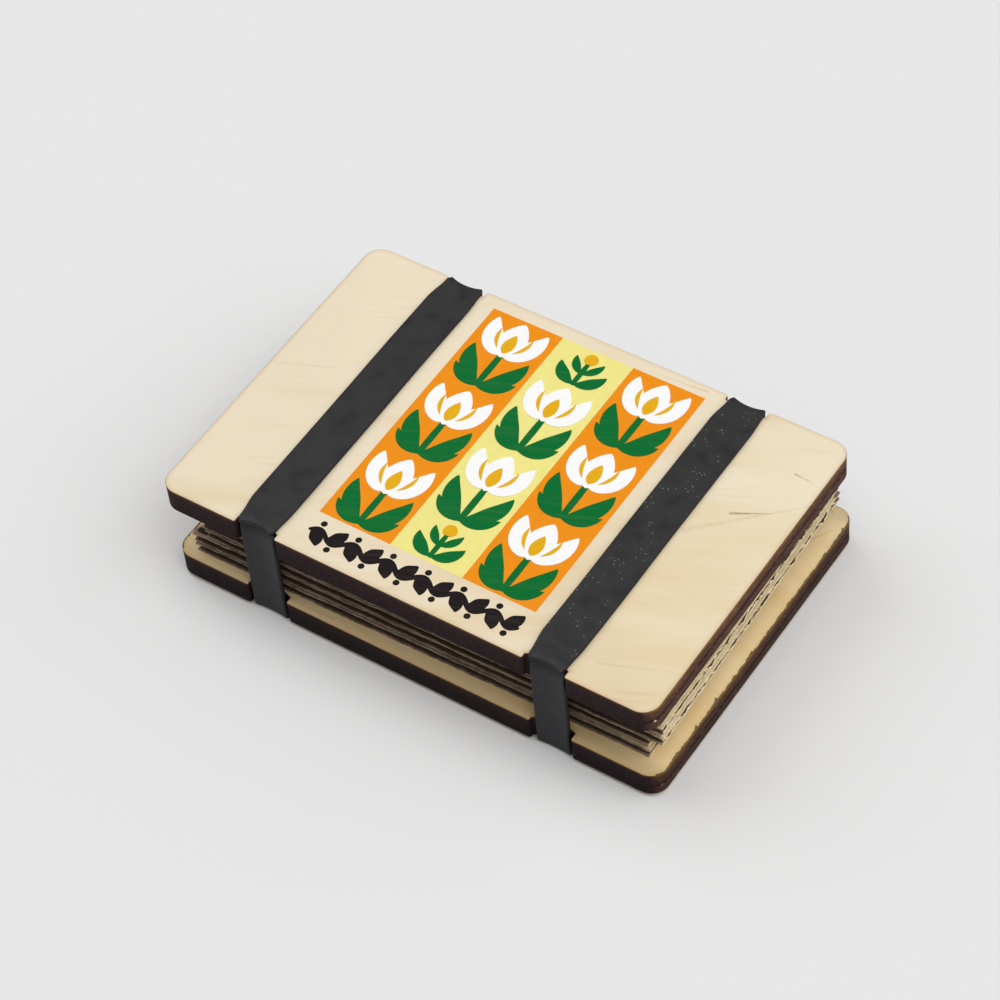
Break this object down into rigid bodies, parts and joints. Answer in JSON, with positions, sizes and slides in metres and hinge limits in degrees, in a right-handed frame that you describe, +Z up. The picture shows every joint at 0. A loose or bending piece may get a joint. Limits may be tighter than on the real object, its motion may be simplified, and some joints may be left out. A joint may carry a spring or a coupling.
{
  "type": "flower press",
  "caption": "Pocket flower press: two notched plywood boards squeeze corrugated cards and blotting papers, held shut by two wide rubber bands that stretch as flowers go in.",
  "frame": {"origin": "middle of the plane on which the undersides of the two bands rest, below the centre of the boards", "axes": "+X along the long edges towards the right-hand band, +Y across the boards towards the back, +Z up through the stack"},
  "size_m": [0.1208, 0.08, 0.0286],
  "materials": {
    "plywood": "unvarnished birch plywood with laser-charred edges",
    "band_rubber": "matt black rubber, slightly dusty",
    "corrugated_card": "plain grey-brown corrugated board",
    "blotting_paper": "uncoated off-white blotting paper"
  },
  "bodies": {
    "base": {"bottom_board": "plywood", "band_left": "band_rubber", "band_right": "band_rubber", "card_1": "corrugated_card", "paper_1": "blotting_paper"},
    "layer_2": {"paper_2": "blotting_paper", "card_2": "corrugated_card", "paper_3": "blotting_paper"},
    "layer_3": {"paper_4": "blotting_paper", "card_3": "corrugated_card", "paper_5": "blotting_paper"},
    "layer_4": {"paper_6": "blotting_paper", "card_4": "corrugated_card", "paper_7": "blotting_paper"},
    "layer_5": {"paper_8": "blotting_paper", "card_5": "corrugated_card"},
    "lid": {"top_board": "plywood"}
  },
  "joints": [
    {"name": "lid_lift", "type": "slide", "parent": "base", "child": "lid", "axis": [0, 0, 1], "range_m": [0, 0.012], "stiffness_N_per_m": 500, "springref_m": -0.01, "deforming": ["band_left", "band_right"]},
    {"name": "layer_2_lift", "type": "slide", "parent": "base", "child": "layer_2", "axis": [0, 0, 1], "range_m": [0, 0.003]},
    {"name": "layer_3_lift", "type": "slide", "parent": "base", "child": "layer_3", "axis": [0, 0, 1], "range_m": [0, 0.006]},
    {"name": "layer_4_lift", "type": "slide", "parent": "base", "child": "layer_4", "axis": [0, 0, 1], "range_m": [0, 0.009]},
    {"name": "layer_5_lift", "type": "slide", "parent": "base", "child": "layer_5", "axis": [0, 0, 1], "range_m": [0, 0.012]}
  ],
  "couplings": [
    {"joint": "layer_2_lift", "follows": "lid_lift", "ratio": 0.25},
    {"joint": "layer_3_lift", "follows": "lid_lift", "ratio": 0.5},
    {"joint": "layer_4_lift", "follows": "lid_lift", "ratio": 0.75},
    {"joint": "layer_5_lift", "follows": "lid_lift", "ratio": 1}
  ]
}
